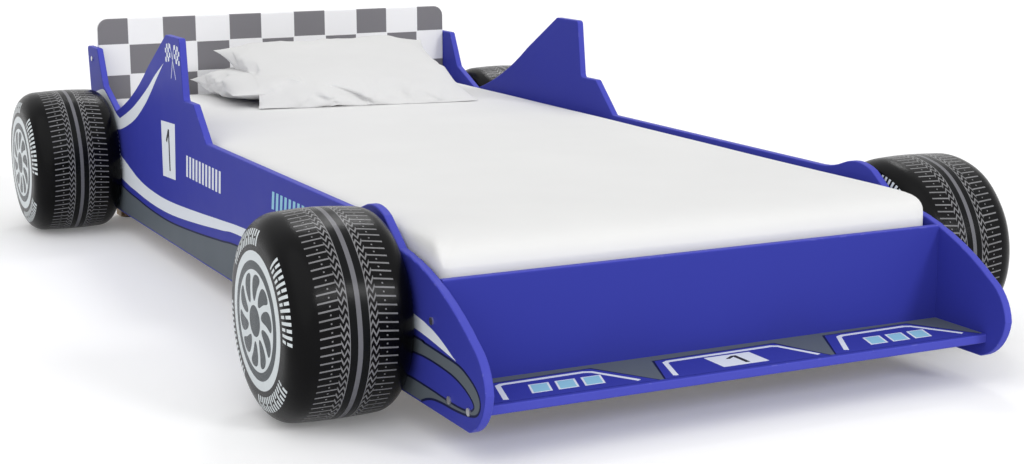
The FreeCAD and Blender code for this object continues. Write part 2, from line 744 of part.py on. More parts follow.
board_bodies = {"footboard": footboard_body, "headboard": headboard_body, "nose_shelf": shelf_body}
screwed = {"footboard": cleat_drills[0::2], "headboard": cleat_drills[1::2], "nose_shelf": []}
for label, body in board_bodies.items():
    own_bolts = owned(bolt_drills, bolt_owners, label)
    tools = [together(label + "_bolt_holes", own_bolts), together(label + "_nut_holes", nut_drills[label])]
    if screwed[label]:
        own_pins = owned(dowel_drills, dowel_owners, label) + screwed[label]
        tools.append(together(label + "_pin_holes", own_pins))
    finish(label, cut(label, body, tools))
for label, own_drills in (("foot_cleat", screwed["footboard"] + foot_plate_drills[:1]),
                          ("head_cleat", screwed["headboard"] + head_plate_drills[:1])):
    finish(label, cut(label, nodes[label], [together(label + "_holes", own_drills)]))
rail_drills = hanger_drills + slat_drills[1::3] + foot_plate_drills[1:] + head_plate_drills[1:]
finish("centre_rail", cut("centre_rail", nodes["centre_rail"], [together("centre_rail_holes", rail_drills)]))


# Soft pieces: lofts through level outlines. Their crown and drawn-in sides are in the outlines.
# The mattress's edges: (height above the floor of the bay, inset) and (drop from the top, inset).
MATTRESS_LOWER_EDGE = [(0, 16), (9, 5), (26, 0)]
MATTRESS_UPPER_EDGE = [(44, 0), (30, 4), (17, 16), (7, 45), (2, 85), (0, 130)]
# A pillow's levels: (share of the belly or crown, inset as a share of half its depth, share of the draw).
PILLOW_BELOW = [(-1.0, 0.44, -0.35), (-0.55, 0.24, 0.2)]
PILLOW_ABOVE = [(0.0, 0.0, 1.0), (0.2, 0.14, 0.42), (0.5, 0.3, -0.05), (0.8, 0.5, -0.4),
                (1.0, 0.78, -0.35)]


def arc_edge(start, through, end):
    return Part.Arc(start, through, end).toShape()


def level_outline(half_x, half_y, draw_in, height, corner=0.0):
    """A four-sided outline whose sides draw in (or swell, if negative) between the corners."""
    def at(x, y):
        return FreeCAD.Vector(x, y, height)

    if not corner:
        tips = [at(-half_x, -half_y), at(half_x, -half_y), at(half_x, half_y), at(-half_x, half_y)]
        middles = [at(0, draw_in - half_y), at(half_x - draw_in, 0), at(0, half_y - draw_in),
                   at(draw_in - half_x, 0)]
        return Part.Wire([arc_edge(tips[n], middles[n], tips[(n + 1) % 4]) for n in range(4)])
    nook = corner * (1 - math.sqrt(0.5))
    edges = []
    for x_sign, y_sign in ((1, -1), (1, 1), (-1, 1), (-1, -1)):
        along_x = at(x_sign * (half_x - corner), y_sign * half_y)
        along_y = at(x_sign * half_x, y_sign * (half_y - corner))
        bend = at(x_sign * (half_x - nook), y_sign * (half_y - nook))
        first, last = (along_x, along_y) if x_sign * y_sign < 0 else (along_y, along_x)
        edges.append(arc_edge(first, bend, last))
        if x_sign * y_sign < 0:
            middle = at(x_sign * (half_x - draw_in), 0)
            edges.append(arc_edge(last, middle, at(x_sign * half_x, -y_sign * (half_y - corner))))
        else:
            middle = at(0, y_sign * (half_y - draw_in))
            edges.append(arc_edge(last, middle, at(-x_sign * (half_x - corner), y_sign * half_y)))
    return Part.Wire(edges)


def soft_piece(label, outlines, ruled=False):
    """A closed solid through level outlines, from the lowest to the highest."""
    thing = doc.addObject("Part::Feature", label + "_form")
    thing.Shape = Part.makeLoft(outlines, True, ruled)
    return thing


def mattress():
    half_x, half_y = value("mattress_width / 2"), value("mattress_length / 2")
    top, corner, swell = value("mattress_height"), value("mattress_corner"), value("mattress_swell")
    levels = MATTRESS_LOWER_EDGE + [(top - drop, inset) for drop, inset in MATTRESS_UPPER_EDGE]
    outlines = [level_outline(half_x - inset, half_y - inset, -swell, height, corner)
                for height, inset in levels]
    form = soft_piece("mattress", outlines, True)
    form.Placement.Base = FreeCAD.Vector(0, value("(%s + %s) / 2" % (BAY_FRONT, HEAD)), value(MATTRESS_FLOOR))
    finish("mattress", form)


def pillow_form(label, belly, crown):
    """A pillow about its seam: pointed corners, sides drawn in, a crown above and a flatter belly below."""
    half_x, half_y = value("pillow_width / 2"), value("pillow_depth / 2")
    draw_in = value("pillow_draw")
    outlines = []
    for rise, shrink, bow in PILLOW_BELOW + PILLOW_ABOVE:
        height = rise * (value(belly) if rise < 0 else value(crown))
        inset = shrink * half_y
        outlines.append(level_outline(half_x - inset, half_y - inset, bow * draw_in, height))
    return soft_piece(label, outlines)


def turned_placement(across, from_head, height, turn, tilt):
    spin = FreeCAD.Rotation(FreeCAD.Vector(0, 0, 1), turn)
    lean = FreeCAD.Rotation(FreeCAD.Vector(1, 0, 0), tilt)
    return FreeCAD.Placement(FreeCAD.Vector(across, value(HEAD) - from_head, height), spin * lean)


def pillows():
    """The lower pillow lies on the mattress, the upper one leans on it."""
    mattress_top = value(MATTRESS_TOP)
    gap = value("rest_gap")
    lower = pillow_form("lower_pillow", "lower_belly", "lower_crown")
    lower.Placement = turned_placement(value("lower_across"), value("lower_from_head"),
                                       mattress_top + gap + value("lower_belly"), value("lower_turn"), 0)
    upper = pillow_form("upper_pillow", "upper_belly", "upper_crown")
    leaning = turned_placement(value("upper_across"), value("upper_from_head"),
                               mattress_top + value("upper_lift"), value("upper_turn"), value("upper_tilt"))
    upper.Placement = leaning
    length = value("2 * pillow_width")
    under = doc.addObject("Part::Box", "room_for_mattress")
    under.Length, under.Width, under.Height = length, length, length
    under.Placement.Base = FreeCAD.Vector(-length / 2, value(HEAD) - length, mattress_top + gap - length)
    nest = doc.addObject("Part::Box", "room_for_upper_pillow")
    nest.Length, nest.Width = value("pillow_width - pillow_draw"), value("pillow_depth")
    nest.Height = length
    corner = FreeCAD.Vector(-nest.Length.Value / 2, -nest.Width.Value / 2, -value("upper_belly") - gap)
    nest.Placement = leaning.multiply(FreeCAD.Placement(corner, FreeCAD.Rotation()))
    finish("upper_pillow", cut("upper_pillow", upper, [under]))
    finish("lower_pillow", cut("lower_pillow", lower, [nest]))


mattress()
pillows()
doc.recompute()

# Check every object, then write one file per piece.
for thing in doc.Objects:
    if {"Invalid", "Error"} & set(thing.State):
        raise RuntimeError("failed: " + thing.Label)
os.makedirs("parts", exist_ok=True)
for label, thing in nodes.items():
    shape = thing.Shape
    if shape.isNull() or not shape.isValid() or not shape.Solids:
        raise RuntimeError("bad shape: " + label)
    shape.exportStep("parts/%s.step" % label)
    print("%-26s solids %3d volume %12.0f" % (label, len(shape.Solids), shape.Volume))
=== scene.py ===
"""Looks of a racing-car bed for children.

X runs across the bed, the nose points to -Y and +Z is up. Lengths are in metres, except the outlines of the
prints, which are in millimetres and are scaled by MM.
"""

import math

import bmesh
import bpy
from mathutils import Matrix, Vector, noise
from mathutils.bvhtree import BVHTree
from mathutils.geometry import tessellate_polygon


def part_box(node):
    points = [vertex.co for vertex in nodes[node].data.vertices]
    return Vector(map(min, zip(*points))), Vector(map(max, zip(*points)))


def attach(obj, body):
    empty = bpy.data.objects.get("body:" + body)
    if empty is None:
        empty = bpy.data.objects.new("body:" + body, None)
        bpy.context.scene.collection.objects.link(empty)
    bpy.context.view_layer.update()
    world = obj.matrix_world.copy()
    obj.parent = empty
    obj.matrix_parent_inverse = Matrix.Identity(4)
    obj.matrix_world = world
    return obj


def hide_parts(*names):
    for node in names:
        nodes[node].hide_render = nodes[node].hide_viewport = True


MM = 0.001
PHOTO_WIDTH = 1024

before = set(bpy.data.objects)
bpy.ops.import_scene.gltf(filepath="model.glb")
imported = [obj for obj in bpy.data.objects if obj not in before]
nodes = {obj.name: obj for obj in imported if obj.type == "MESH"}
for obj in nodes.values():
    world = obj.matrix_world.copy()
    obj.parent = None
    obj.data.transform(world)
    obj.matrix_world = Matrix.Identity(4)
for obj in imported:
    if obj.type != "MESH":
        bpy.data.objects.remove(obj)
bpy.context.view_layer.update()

LEFT_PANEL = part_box("left_side_panel")
PANEL_FACE = -LEFT_PANEL[0].x
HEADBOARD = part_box("headboard")
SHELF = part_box("nose_shelf")
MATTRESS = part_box("mattress")
WHEELS = ("front_left", "front_right", "rear_left", "rear_right")


# ---------------------------------------------------------------- camera and light
CAMERA_PLACE = Vector((-1.5161, -3.337, 0.8338))
CAMERA_YAW, CAMERA_PITCH, CAMERA_ROLL = 0.458, -0.196, -0.004
FOCAL_PIXELS = 1829.1


def make_camera():
    """The photograph's own viewing angle."""
    data = bpy.data.cameras.new("photo_camera")
    data.sensor_width = 36.0
    data.lens = data.sensor_width * FOCAL_PIXELS / PHOTO_WIDTH
    camera = bpy.data.objects.new("photo_camera", data)
    bpy.context.scene.collection.objects.link(camera)
    turn = Matrix.Rotation(-CAMERA_YAW, 4, "Z") @ Matrix.Rotation(math.pi / 2 + CAMERA_PITCH, 4, "X")
    turn = turn @ Matrix.Rotation(CAMERA_ROLL, 4, "Z")
    camera.matrix_world = Matrix.Translation(CAMERA_PLACE) @ turn
    bpy.context.scene.camera = camera


def far_lamp(name, towards, spread, strength):
    """A large soft lamp, so far off that it lights the floor evenly."""
    data = bpy.data.lights.new(name, "SUN")
    data.angle = math.radians(spread)
    data.energy = strength
    lamp = bpy.data.objects.new(name, data)
    bpy.context.scene.collection.objects.link(lamp)
    lamp.rotation_euler = (-Vector(towards)).to_track_quat("-Z", "Y").to_euler()


def background_rays(tree):
    """One for rays that show the background: from the camera, off a glossy surface or through glass."""
    path = tree.nodes.new("ShaderNodeLightPath")
    mask = Field(tree, path.outputs["Is Camera Ray"])
    for kind in ("Is Glossy Ray", "Is Transmission Ray"):
        mask = mask.either(Field(tree, path.outputs[kind]))
    return mask.socket


SKY_LEVEL = 0.5
FLOOR_GLOW = 0.14
FLOOR_REACH = 60.0
# name, direction towards the lamp, apparent size in degrees, strength
LAMPS = (
    ("front_lamp", (0.36, -0.80, 0.46), 14.0, 0.9),
    ("back_lamp", (0.36, 0.58, 0.73), 12.0, 0.3),
    ("left_lamp", (-0.5, -0.6, 0.7), 80.0, 0.9),
    ("top_lamp", (-0.1, -0.1, 1.0), 100.0, 0.5),
)


def make_studio():
    """An even sky, soft lamps ahead of the nose, behind the bed, at its left and above, and the floor."""
    scene = bpy.context.scene
    scene.view_settings.view_transform = "Standard"
    world = bpy.data.worlds.new("studio")
    scene.world = world
    world.use_nodes = True
    tree = world.node_tree
    sky = tree.nodes["Background"]
    sky.inputs["Color"].default_value = (1.0, 1.0, 1.0, 1.0)
    sky.inputs["Strength"].default_value = SKY_LEVEL
    white = tree.nodes.new("ShaderNodeBackground")
    white.inputs["Color"].default_value = (1.0, 1.0, 1.0, 1.0)
    white.inputs["Strength"].default_value = 1.0
    mix = tree.nodes.new("ShaderNodeMixShader")
    tree.links.new(background_rays(tree), mix.inputs[0])
    tree.links.new(sky.outputs[0], mix.inputs[1])
    tree.links.new(white.outputs[0], mix.inputs[2])
    tree.links.new(mix.outputs[0], tree.nodes["World Output"].inputs["Surface"])
    for lamp in LAMPS:
        far_lamp(*lamp)
    make_floor()


def make_floor():
    """A pale floor that glows a little for the background rays alone, to show white round the shadow."""
    mesh = bpy.data.meshes.new("floor")
    corners = [(x * FLOOR_REACH, y * FLOOR_REACH, 0) for x, y in ((-1, -1), (1, -1), (1, 1), (-1, 1))]
    mesh.from_pydata(corners, [], [(0, 1, 2, 3)])
    floor = bpy.data.objects.new("floor", mesh)
    bpy.context.scene.collection.objects.link(floor)
    look = Look("floor", (0.9, 0.9, 0.905), 0.7)
    look.set("Specular IOR Level", 0.1)
    glow = look.tree.nodes.new("ShaderNodeEmission")
    glow.inputs["Strength"].default_value = FLOOR_GLOW
    add = look.tree.nodes.new("ShaderNodeAddShader")
    lift = look.tree.nodes.new("ShaderNodeMixShader")
    output = look.tree.nodes["Material Output"]
    look.tree.links.new(look.shader.outputs[0], add.inputs[0])
    look.tree.links.new(glow.outputs[0], add.inputs[1])
    look.tree.links.new(background_rays(look.tree), lift.inputs[0])
    look.tree.links.new(look.shader.outputs[0], lift.inputs[1])
    look.tree.links.new(add.outputs[0], lift.inputs[2])
    look.tree.links.new(lift.outputs[0], output.inputs["Surface"])
    mesh.materials.append(look.done())


# ---------------------------------------------------------------- materials
class Field:
    """A number that varies over a surface. Sums, products and comparisons make the shader nodes for it."""

    def __init__(self, tree, socket):
        self.tree, self.socket = tree, socket

    def node(self, operation, *others):
        made = self.tree.nodes.new("ShaderNodeMath")
        made.operation = operation
        for number, value in enumerate((self,) + others):
            if isinstance(value, Field):
                self.tree.links.new(value.socket, made.inputs[number])
            else:
                made.inputs[number].default_value = value
        return Field(self.tree, made.outputs[0])

    def __add__(self, other):
        return self.node("ADD", other)

    def __sub__(self, other):
        return self.node("SUBTRACT", other)

    def __mul__(self, other):
        return self.node("MULTIPLY", other)

    def __truediv__(self, other):
        return self.node("DIVIDE", other)

    def above(self, limit):
        return self.node("GREATER_THAN", limit)

    def below(self, limit):
        return self.node("LESS_THAN", limit)

    def between(self, low, high):
        return self.above(low) * self.below(high)

    def either(self, other):
        return self.node("MAXIMUM", other)

    def size(self):
        return self.node("ABSOLUTE")

    def fraction(self):
        return self.node("FRACT")

    def whole(self):
        return self.node("FLOOR")

    def clear(self):
        """One where this mask is nought, and nought where it is one."""
        return (self * -1.0) + 1.0


class Look:
    """A material with a Principled shader, built up layer by layer."""

    def __init__(self, name, colour, roughness):
        self.material = bpy.data.materials.new(name)
        self.material.use_nodes = True
        self.tree = self.material.node_tree
        self.shader = self.tree.nodes["Principled BSDF"]
        self.coordinates = self.tree.nodes.new("ShaderNodeTexCoord")
        self.colour = colour
        self.set("Roughness", roughness)

    def set(self, name, value):
        self.shader.inputs[name].default_value = value

    def feed(self, colour, socket):
        """Give a socket a colour: three numbers, or the output of a node."""
        if isinstance(colour, tuple):
            socket.default_value = (*colour, 1.0)
        else:
            self.tree.links.new(colour, socket)

    def split(self, socket):
        made = self.tree.nodes.new("ShaderNodeSeparateXYZ")
        self.tree.links.new(socket, made.inputs[0])
        return [Field(self.tree, output) for output in made.outputs]

    def place(self):
        return self.split(self.coordinates.outputs["Object"])

    def facing(self):
        """How far the surface faces along X, Y and Z."""
        geometry = self.tree.nodes.new("ShaderNodeNewGeometry")
        return [field.size() for field in self.split(geometry.outputs["Normal"])]

    def stretched(self, stretch):
        made = self.tree.nodes.new("ShaderNodeMapping")
        made.inputs["Scale"].default_value = stretch
        self.tree.links.new(self.coordinates.outputs["Object"], made.inputs["Vector"])
        return made.outputs[0]

    def grain(self, scale, stretch=(1, 1, 1), detail=3.0, distortion=0.0):
        made = self.tree.nodes.new("ShaderNodeTexNoise")
        made.inputs["Scale"].default_value = scale
        made.inputs["Detail"].default_value = detail
        made.inputs["Distortion"].default_value = distortion
        self.tree.links.new(self.stretched(stretch), made.inputs["Vector"])
        return Field(self.tree, made.outputs["Fac"])

    def cover(self, mask, colour):
        """Paint a colour where the mask is one."""
        made = self.tree.nodes.new("ShaderNodeMix")
        made.data_type = "RGBA"
        self.tree.links.new(mask.socket, made.inputs["Factor"])
        rgba = [entry for entry in made.inputs if entry.type == "RGBA"]
        self.feed(self.colour, rgba[0])
        self.feed(colour, rgba[1])
        self.colour = [entry for entry in made.outputs if entry.type == "RGBA"][0]

    def uneven(self, scale, amount, stretch=(1, 1, 1)):
        """Darken and lighten the colour a little in soft patches."""
        made = self.tree.nodes.new("ShaderNodeHueSaturation")
        value = self.grain(scale, stretch) * (2 * amount) + (1.0 - amount)
        self.tree.links.new(value.socket, made.inputs["Value"])
        self.feed(self.colour, made.inputs["Color"])
        self.colour = made.outputs[0]

    def rough(self, field, low, high):
        value = field * (high - low) + low
        self.tree.links.new(value.socket, self.shader.inputs["Roughness"])

    def relief(self, field, depth, strength=1.0):
        made = self.tree.nodes.new("ShaderNodeBump")
        made.inputs["Distance"].default_value = depth
        made.inputs["Strength"].default_value = strength
        self.tree.links.new(field.socket, made.inputs["Height"])
        self.tree.links.new(made.outputs[0], self.shader.inputs["Normal"])

    def done(self):
        self.feed(self.colour, self.shader.inputs["Base Color"])
        return self.material


BLUE = (0.040, 0.048, 0.345)
# a lighter blue painted on the boards' edges as a painted highlight
EDGE_HIGHLIGHT_BLUE = (0.07, 0.078, 0.46)
SLATE = (0.115, 0.135, 0.155)
NAVY = (0.012, 0.014, 0.055)
WHITE = (0.76, 0.80, 0.86)
LIGHT_BLUE = (0.30, 0.58, 0.74)
INK = (0.03, 0.03, 0.035)
CHEQUER_GREY = (0.205, 0.20, 0.215)
CHEQUER_WHITE = (0.86, 0.86, 0.875)


def laminate_surface(look):
    """Fine speckle, soft patches and slightly uneven gloss of a printed board."""
    look.set("Specular IOR Level", 0.035)
    look.uneven(2.2, 0.05)
    look.rough(look.grain(14.0), 0.34, 0.46)
    look.relief(look.grain(900.0, detail=1.0), 0.00004, 0.5)
    return look.done()


def blue_board(name, broad):
    """Blue laminate with a painted highlight (a lighter blue) on all its edges, and scuffed corners. broad is
    the axis of its wide faces.
    """
    look = Look(name, BLUE, 0.4)
    facing = look.facing()["XYZ".index(broad)]
    # painted highlight: every face that does not face along the broad axis is painted a lighter blue
    look.cover(facing.below(0.75), EDGE_HIGHLIGHT_BLUE)
    scuff = facing.between(0.3, 0.93) * look.grain(60.0, detail=6.0).above(0.62)
    look.cover(scuff * 0.12, (0.3, 0.3, 0.62))
    return laminate_surface(look)


def printed(name, colour):
    return laminate_surface(Look(name, colour, 0.38))


CHEQUER_PITCH_X = 0.0846
CHEQUER_PITCH_Z = 0.0733
CHEQUER_FIRST_LINE = 0.419
CHEQUER_COLUMNS = 11
CHEQUER_GAP = 0.0012


def chequered_board():
    """Grey and white chequers with thin white joints, on the headboard's front; its back is plain white."""
    look = Look("chequered_laminate", CHEQUER_WHITE, 0.4)
    x, y, z = look.place()
    across = x / CHEQUER_PITCH_X + (CHEQUER_COLUMNS / 2)
    rows = z * (-1.0 / CHEQUER_PITCH_Z) + (CHEQUER_FIRST_LINE / CHEQUER_PITCH_Z + 1.0)
    step = across.whole() + rows.whole()
    grey = (step * 0.5).fraction().below(0.25)
    for field, pitch in ((across, CHEQUER_PITCH_X), (rows, CHEQUER_PITCH_Z)):
        gap = CHEQUER_GAP / pitch
        grey = grey * field.fraction().between(gap, 1.0 - gap)
    front = y.below(HEADBOARD[0].y + 0.004)
    look.cover(grey * front, CHEQUER_GREY)
    return laminate_surface(look)


def timber(name, colour, dark, along):
    """Planed wood with its grain along one axis."""
    look = Look(name, colour, 0.55)
    stretch = [14.0, 14.0, 14.0]
    stretch["XYZ".index(along)] = 0.7
    rings = look.grain(3.2, tuple(stretch), 5.0, 0.8)
    look.cover(rings.between(0.5, 0.58) * 0.7, dark)
    pores = look.grain(22.0, tuple(stretch), 2.0)
    look.cover(pores.above(0.66) * 0.45, dark)
    look.uneven(1.6, 0.12)
    look.rough(rings, 0.45, 0.68)
    look.relief(pores, 0.0002, 0.35)
    return look.done()


def weave(name, colour, pitch, sheen, roughness):
    """Woven cotton: threads over and under at their real pitch, with a soft sheen."""
    look = Look(name, colour, roughness)
    x, y, z = look.place()
    turns = 2 * math.pi / pitch
    along = (x + z * 0.6) * turns
    across = (y + z * 0.8) * turns
    threads = along.node("SINE") * across.node("SINE")
    look.relief(threads, 0.00008, 0.35)
    look.uneven(5.0, 0.035)
    look.set("Specular IOR Level", 0.2)
    look.set("Sheen Weight", sheen)
    look.set("Sheen Roughness", 0.5)
    return look.done()


def plain(name, colour, roughness, metallic=0.0, scale=220.0, depth=0.00006):
    look = Look(name, colour, roughness)
    look.set("Metallic", metallic)
    look.uneven(scale / 8, 0.08)
    look.rough(look.grain(scale / 3), roughness * 0.85, roughness * 1.15)
    look.relief(look.grain(scale, detail=4.0), depth, 0.5)
    return look.done()


# Measures of the print on a wheel: places along the axle are from the side panel, radii from the axle.
STRIPE_PLACE = 0.100
STRIPE_HALF = 0.0038
GROOVE_HALF = 0.0155
ZIGZAG_REACH = 0.0145
SIPE_REACH = 0.046
SIPES = 79
TREAD_RADIUS = 0.1505
HUB_RING = (0.0245, 0.079)
WINDOW_ROOT, WINDOW_TIP = 0.0315, 0.0745
WINDOWS = 10
RIM_RING = (0.0925, 0.1075)
BAR_RING = (0.1165, 0.1405)
BAR_GAP = (0.127, 0.1305)
BARS_ROUND = 84
DOT_PLACE = (0.0262, 0.0286)
EDGE_LINE = 0.0014
WALL_START = 0.062
FACE_START = 0.15
RIM_EDGE = 0.0013
THREAD_PITCH = 0.0011
RUBBER_BLACK = (0.002, 0.002, 0.0024)
GROOVE_BLACK = (0.0035, 0.004, 0.0045)
TREAD_GREY, STRIPE_GREY = (0.27, 0.27, 0.28), (0.15, 0.15, 0.165)
RIM_GREY, RIM_WHITE = (0.052, 0.064, 0.072), (0.66, 0.71, 0.73)


def wheel_print():
    """Printed black fabric: a rim with swirled windows, a ring of plain bars, grooves, sipes and zig-zags."""
    look = Look("wheel_print", RUBBER_BLACK, 0.24)
    look.set("Specular IOR Level", 0.095)
    x, y, z = look.place()
    radius = (y * y + z * z).node("SQRT")
    turn = z.node("ARCTAN2", y) * (1 / (2 * math.pi)) + 0.5

    tread = radius.above(TREAD_RADIUS)
    aside = (x - STRIPE_PLACE).size()
    beyond = aside - GROOVE_HALF
    cell = (turn * SIPES + beyond * 9.0).fraction()
    sipe = cell.below(0.2) * beyond.between(ZIGZAG_REACH, SIPE_REACH)
    dot = cell.between(0.5, 0.68) * beyond.between(*DOT_PLACE)
    bend = ((beyond / ZIGZAG_REACH * 1.5).fraction() - 0.5).size()
    chevron = (turn * SIPES + bend * 1.5).fraction().below(0.38) * beyond.between(0.0, ZIGZAG_REACH)
    edge_line = beyond.between(0.0, EDGE_LINE)
    worn = look.grain(34.0, detail=2.0) * 0.55 + 0.45
    print_mask = sipe.either(dot).either(chevron).either(edge_line)
    look.cover(print_mask * tread * worn, TREAD_GREY)
    look.cover(aside.between(STRIPE_HALF, GROOVE_HALF) * tread, GROOVE_BLACK)
    look.cover(aside.below(STRIPE_HALF) * tread, STRIPE_GREY)

    face = x.above(FACE_START)
    look.cover(radius.below(RIM_RING[1]) * face, RIM_GREY)
    look.cover(radius.between(*HUB_RING) * face, RIM_WHITE)
    along = (radius - WINDOW_ROOT) / (WINDOW_TIP - WINDOW_ROOT)
    swirl = (turn * WINDOWS + along * along * 0.34).fraction()
    from_middle = along * 2.0 - 1.0
    ends = (from_middle * from_middle) * (from_middle * from_middle)
    half_width = (along * 0.11 + 0.29) * (ends.clear().node("MAXIMUM", 0.0)).node("SQRT")
    window = (half_width - (swirl - 0.5).size()).above(0.0)
    look.cover(window * radius.between(WINDOW_ROOT, WINDOW_TIP) * face, RIM_GREY)
    look.cover(radius.between(*RIM_RING) * face, RIM_WHITE)
    look.cover(radius.between(RIM_RING[1], RIM_RING[1] + RIM_EDGE) * face, INK)

    wall = aside.above(WALL_START)
    bar = turn * BARS_ROUND + (radius - BAR_RING[0]) * 9.0
    group = (turn * 4.0 + 0.06).fraction().below(0.66)
    stroke = bar.fraction().between(0.24, 0.76) * group
    split = (bar.whole() * 0.5).fraction().above(0.25) * radius.between(*BAR_GAP)
    look.cover(stroke * split.clear() * radius.between(*BAR_RING) * wall, RIM_WHITE)

    turns = 2 * math.pi / THREAD_PITCH
    threads = (x * turns).node("SINE") * ((y + z * 0.7) * turns).node("SINE")
    look.rough(look.grain(9.0), 0.19, 0.29)
    look.relief(threads, 0.00007, 0.3)
    return look.done()


# ---------------------------------------------------------------- meshes
def add_piece(name, mesh, body, materials):
    piece = bpy.data.objects.new(name, mesh)
    bpy.context.scene.collection.objects.link(piece)
    for material in materials:
        mesh.materials.append(material)
    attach(piece, body)
    return piece


def shade_smooth(mesh):
    for polygon in mesh.polygons:
        polygon.use_smooth = True


def curve(points, steps=7):
    """A smooth line through the points, without its last point."""
    line = []
    for count in range(len(points) - 1):
        before = Vector(points[max(count - 1, 0)])
        start, end = Vector(points[count]), Vector(points[count + 1])
        after = Vector(points[min(count + 2, len(points) - 1)])
        for step in range(steps):
            t = step / steps
            bend = (2 * start + (end - before) * t + (2 * before - 5 * start + 4 * end - after) * t * t
                    + (3 * start - before - 3 * end + after) * t ** 3)
            line.append(tuple(bend * 0.5))
    return line


def outline(*runs):
    """A closed outline made of smooth runs that meet in corners. Each run ends where the next one starts."""
    line = []
    for count, run in enumerate(runs):
        following = runs[(count + 1) % len(runs)][0]
        joined = list(run) + ([following] if run[-1] != following else [])
        line += curve(joined) if len(joined) > 2 else [joined[0]]
    return line


class Shape:
    """A flat shape in two numbers per point: its faces, and the loops that run round it."""

    def __init__(self, points, faces, loops):
        self.points, self.faces, self.loops = points, faces, loops


def area(points):
    """The inside of an outline."""
    faces = tessellate_polygon([[Vector((a, b, 0.0)) for a, b in points]])
    return Shape(points, faces, [range(len(points))])


def stripe(points, width, closed=False):
    """A stripe of even width along a line."""
    line = [Vector(point) for point in points]
    count = len(line)
    sides = []
    for number, point in enumerate(line):
        before = line[number - 1] if number or closed else point
        after = line[(number + 1) % count] if number + 1 < count or closed else point
        arriving, leaving = (point - before), (after - point)
        arriving = (arriving if arriving.length else leaving).normalized()
        leaving = (leaving if leaving.length else arriving).normalized()
        middle = (arriving + leaving).normalized()
        across = Vector((-middle.y, middle.x)) * (width / 2 / max(0.5, middle.dot(arriving)))
        sides.append((tuple(point + across), tuple(point - across)))
    flat = [left for left, right in sides] + [right for left, right in sides]
    faces = []
    for number in range(count if closed else count - 1):
        following = (number + 1) % count
        faces.append((number, following, count + following, count + number))
    near, far = list(range(count)), list(range(count, 2 * count))
    return Shape(flat, faces, [near, far] if closed else [near + far[::-1]])


FILM = 0.00012


class Prints:
    """Printed shapes that lie on a board as thin films, one object for each colour."""

    def __init__(self, board, seat):
        self.board, self.seat, self.films = board, seat, {}

    def add(self, colour, layer, shape):
        self.films.setdefault(colour, []).append((layer, shape))

    def build(self, materials):
        for colour, films in self.films.items():
            mesh = bpy.data.meshes.new("%s_%s_print" % (self.board, colour))
            form = bmesh.new()
            for layer, shape in films:
                self.film(form, layer * FILM, shape)
            bmesh.ops.recalc_face_normals(form, faces=form.faces)
            form.to_mesh(mesh)
            form.free()
            add_piece(mesh.name, mesh, "frame", [materials[colour]])

    def film(self, form, rise, shape):
        """A thin closed film on the board."""
        low, high = ([form.verts.new(self.seat(point, level)) for point in shape.points]
                     for level in (0.0, rise))
        for face in shape.faces:
            form.faces.new([high[index] for index in face])
            form.faces.new([low[index] for index in face[::-1]])
        for loop in shape.loops:
            for first, second in zip(loop, list(loop[1:]) + [loop[0]]):
                form.faces.new([low[first], low[second], high[second], high[first]])


# ---------------------------------------------------------------- side panels' prints, (Y, Z) in millimetres
FLASH_TIP = (445, 434)
FLASH = [
    [FLASH_TIP, (516, 402), (586, 365.5), (687, 320.5), (760, 294), (835, 271)],
    [(835, 271), (868, 279), (912, 298.5), (950, 314.5), (985, 323), (1049, 311), (1093, 292)],
    [(1093, 262), (1030, 268), (960, 256), (895, 242), (822, 248.5), (707, 282), (619, 323),
     (561, 357.5), (504, 396)],
]
STRIPE_TOP = [(1092, 250), (1000, 222), (900, 196), (798, 174), (762, 165.5), (698, 152), (622, 143),
              (511, 138.5), (393, 141), (225, 150.5), (82, 160), (-92, 170), (-480, 181), (-882, 180.4)]
STRIPE_TIP = (-1032, 143.3)
STRIPE_BOTTOM = [(-885, 159), (-700, 160), (-480, 158), (-45, 150), (72, 140.5), (228, 126), (396, 113.5),
                 (515, 110), (627, 112.5), (704, 117.5), (800, 125), (1000, 150), (1092, 168)]
SLATE_TOP = [(1092, 150), (1000, 132), (800, 108), (704, 102), (627, 97), (515, 93.5), (396, 95.5),
             (228, 106), (80, 118), (-45, 128), (-480, 144), (-881, 146), (-916, 144.5), (-983, 142),
             (-1041, 139), (-1075, 130), (-1100, 118), (-1112, 104), (-1110, 90), (-1097, 79),
             (-1068, 72.5), (-1026, 69), (-985, 68), (-950, 65), (-925, 59), (-905, 51)]
SLATE_END = (1092, 51)
LEAF = [(-640, 96), (-760, 112), (-886, 121), (-930, 123), (-984, 121.5), (-1025, 118), (-1058, 110.5),
        (-1083, 100), (-1092, 91), (-1083, 83), (-1064, 79), (-1037, 77), (-1000, 77), (-944, 78.5),
        (-890, 79), (-760, 80)]
PLATE = [(482, 309), (377, 313), (387, 193), (482, 189)]
NUMERAL = [(431, 296), (422, 296), (422, 207), (430, 207), (430, 282), (442, 266), (449, 270)]
NUMERAL_START, NUMERAL_WIDTH = 449, 27.0
NUMERAL_FOOT, NUMERAL_HEIGHT = 207, 89.0
SLATE_RIM, LEAF_RIM = 3.6, 3.2


def numeral(corner, across, up):
    """The outline of a plain numeral one, from a corner, along an across line and an up line."""
    points = []
    for y, z in NUMERAL:
        a, b = (NUMERAL_START - y) / NUMERAL_WIDTH, (z - NUMERAL_FOOT) / NUMERAL_HEIGHT
        points.append(tuple(Vector(corner) + Vector(across) * a + Vector(up) * b))
    return points


BAR_COUNT, BAR_WIDTH, BAR_SPACE, BAR_SLANT = 11, 12, 10.2, -6
# colour, where the first bar starts, height
BAR_ROWS = (("white", (306, 213), 45), ("light_blue", (-235, 234), 33))


